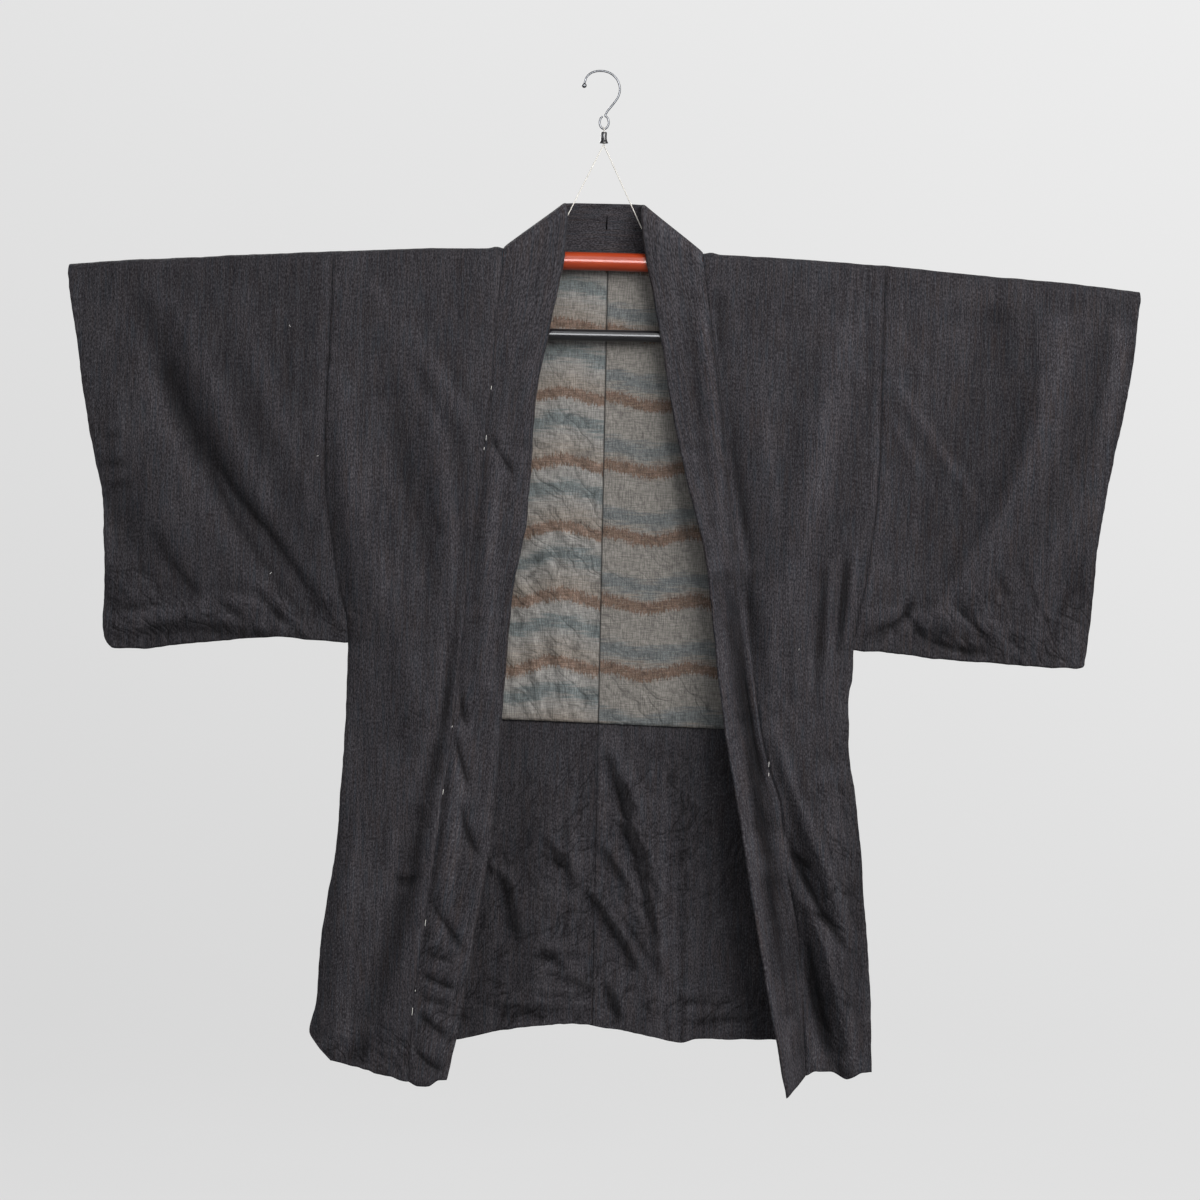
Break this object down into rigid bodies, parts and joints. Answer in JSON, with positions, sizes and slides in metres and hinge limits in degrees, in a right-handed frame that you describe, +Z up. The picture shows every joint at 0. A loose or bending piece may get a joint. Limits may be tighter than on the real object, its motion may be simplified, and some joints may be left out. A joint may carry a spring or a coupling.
{
  "type": "haori jacket on kimono hanger",
  "caption": "Open-fronted haori jacket with square sleeves and a long folded collar, hung straight-armed on a telescoping kimono hanger with a wire hook.",
  "frame": {"origin": "the inside of the hook's top, where a peg or rail bears, on the hanger's middle plane", "axes": "+Z up; +X towards the wearer's left sleeve, along the shoulders; the jacket's open front faces -Y"},
  "size_m": [1.283, 0.0819, 1.2231],
  "materials": {
    "jacket_cloth": "charcoal ribbed silk, matt with a faint sheen on its ridges",
    "lining_cloth": "soft grey-cream silk with hazy brown waves woven across it",
    "red_lacquer": "glossy orange-red lacquer",
    "black_plastic": "smooth black, half gloss",
    "steel": "bright plated wire",
    "string": "white braided string"
  },
  "bodies": {
    "root": {"body_right": "jacket_cloth", "body_left": "jacket_cloth", "sleeve_right": "jacket_cloth", "sleeve_left": "jacket_cloth", "collar": "jacket_cloth", "gusset_right": "jacket_cloth", "gusset_left": "jacket_cloth", "lining_right": "lining_cloth", "lining_left": "lining_cloth", "hanger_tube": "red_lacquer", "hanger_rod_right": "black_plastic", "hanger_rod_left": "black_plastic", "hanger_cap_right": "black_plastic", "hanger_cap_left": "black_plastic", "lower_bar": "black_plastic", "bar_link_right": "black_plastic", "bar_link_left": "black_plastic", "hook_bead": "black_plastic", "hook_wire": "steel", "hook_tip": "steel", "hanger_string": "string"}
  },
  "joints": []
}
